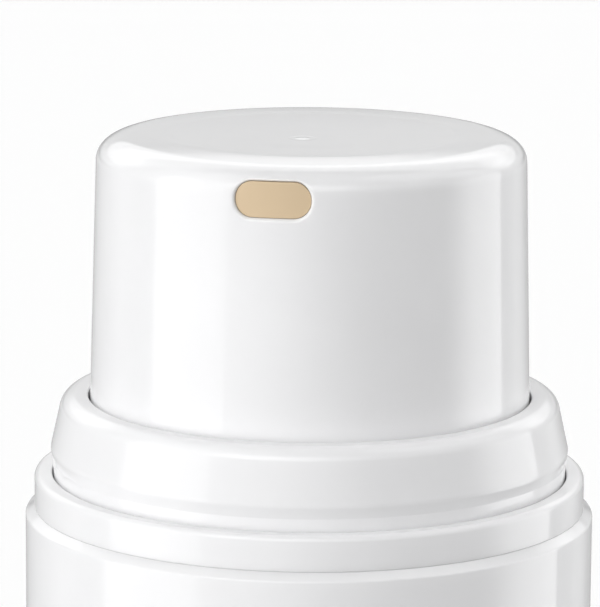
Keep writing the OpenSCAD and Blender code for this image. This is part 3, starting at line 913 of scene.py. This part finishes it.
def sky_shader(boxes):
    """World of softboxes. The camera itself sees a plain pale backdrop."""
    world = bpy.data.worlds.new("studio")
    bpy.context.scene.world = world
    world.use_nodes = True
    nodes, links = world.node_tree.nodes, world.node_tree.links
    nodes.clear()
    output = nodes.new("ShaderNodeOutputWorld")
    background = nodes.new("ShaderNodeBackground")
    links.new(background.outputs["Background"], output.inputs["Surface"])
    split = nodes.new("ShaderNodeSeparateXYZ")
    place = nodes.new("ShaderNodeTexCoord")
    links.new(place.outputs["Generated"], split.inputs["Vector"])

    def math_node(kind, *values):
        """Output of a Math node whose inputs are numbers or other outputs."""
        node = nodes.new("ShaderNodeMath")
        node.operation = kind
        for socket, value in zip(node.inputs, values):
            if isinstance(value, (int, float)):
                socket.default_value = value
            else:
                links.new(value, socket)
        return node.outputs[0]

    azimuth = math_node("ARCTAN2", split.outputs["X"], math_node("MULTIPLY", split.outputs["Y"], -1))
    elevation = math_node("ARCSINE", split.outputs["Z"])

    def rise(value, edge, softness):
        """From 0 to 1 as the value passes an edge, or from 1 to 0 where the softness is negative."""
        node = nodes.new("ShaderNodeMapRange")
        node.interpolation_type = "SMOOTHSTEP"
        node.inputs["From Min"].default_value = edge - softness / 2
        node.inputs["From Max"].default_value = edge + softness / 2
        links.new(value, node.inputs["Value"])
        return node.outputs["Result"]

    total = 0.0
    for *angles, strength in boxes:
        a0, a1, soft0, soft1, e0, e1, soft = (math.radians(v) for v in angles)
        centre = (a0 + a1) / 2 + math.radians(CAMERA_AZIMUTH)
        across = math_node("WRAP", math_node("SUBTRACT", azimuth, centre), math.pi, -math.pi)
        half = (a1 - a0) / 2
        mask = math_node("MULTIPLY", rise(across, -half, soft0), rise(across, half, -soft1))
        mask = math_node("MULTIPLY", mask, rise(elevation, e0, soft))
        mask = math_node("MULTIPLY", mask, rise(elevation, e1, -soft))
        total = math_node("ADD", math_node("MULTIPLY", mask, strength), total)
    seen = nodes.new("ShaderNodeLightPath")
    mixed = nodes.new("ShaderNodeMix")
    mixed.data_type = "FLOAT"
    links.new(seen.outputs["Is Camera Ray"], mixed.inputs["Factor"])
    links.new(total, mixed.inputs["A"])
    mixed.inputs["B"].default_value = BACKDROP
    links.new(mixed.outputs["Result"], background.inputs["Strength"])


def make_floor():
    """Pale matt floor that neither shades nor lights the bottle, nor shows in its gloss."""
    bm = bmesh.new()
    bmesh.ops.create_circle(bm, cap_ends=True, segments=256, radius=FLOOR_R)
    floor = new_piece("floor", bm)
    material = bpy.data.materials.new("pale_floor")
    material.use_nodes = True
    shader = material.node_tree.nodes["Principled BSDF"]
    shader.inputs["Base Color"].default_value = (0.9, 0.9, 0.9, 1)
    shader.inputs["Roughness"].default_value = 1.0
    shader.inputs["Specular IOR Level"].default_value = 0.0
    shader.inputs["Emission Color"].default_value = (1, 1, 1, 1)
    shader.inputs["Emission Strength"].default_value = FLOOR_GLOW
    dress(floor, material)
    floor.visible_glossy = False
    floor.visible_diffuse = False
    floor.visible_shadow = False


def make_camera():
    """The scene's camera, at the photograph's view."""
    turn = math.radians(CAMERA_AZIMUTH)
    tilt = math.radians(CAMERA_ELEVATION)
    right = Vector((math.cos(turn), math.sin(turn), 0))
    back = Vector((math.sin(turn) * math.cos(tilt), -math.cos(turn) * math.cos(tilt), math.sin(tilt)))
    target = (right * TARGET_ASIDE + Vector((0, 0, TARGET_HEIGHT))) * MM
    data = bpy.data.cameras.new("camera")
    data.lens = CAMERA_LENS
    data.sensor_width = SENSOR_WIDTH
    data.clip_start = CAMERA_NEAR
    data.clip_end = CAMERA_FAR
    camera = bpy.data.objects.new("camera", data)
    bpy.context.scene.collection.objects.link(camera)
    roll = Matrix.Rotation(math.radians(CAMERA_ROLL), 3, back)
    across = roll @ right
    axes = Matrix((across, back.cross(across), back)).transposed()
    camera.matrix_world = Matrix.Translation(target + back * CAMERA_DISTANCE * MM) @ axes.to_4x4()
    bpy.context.scene.camera = camera


sky_shader(SKY)
make_floor()
make_camera()
bpy.context.scene.view_settings.view_transform = "Standard"
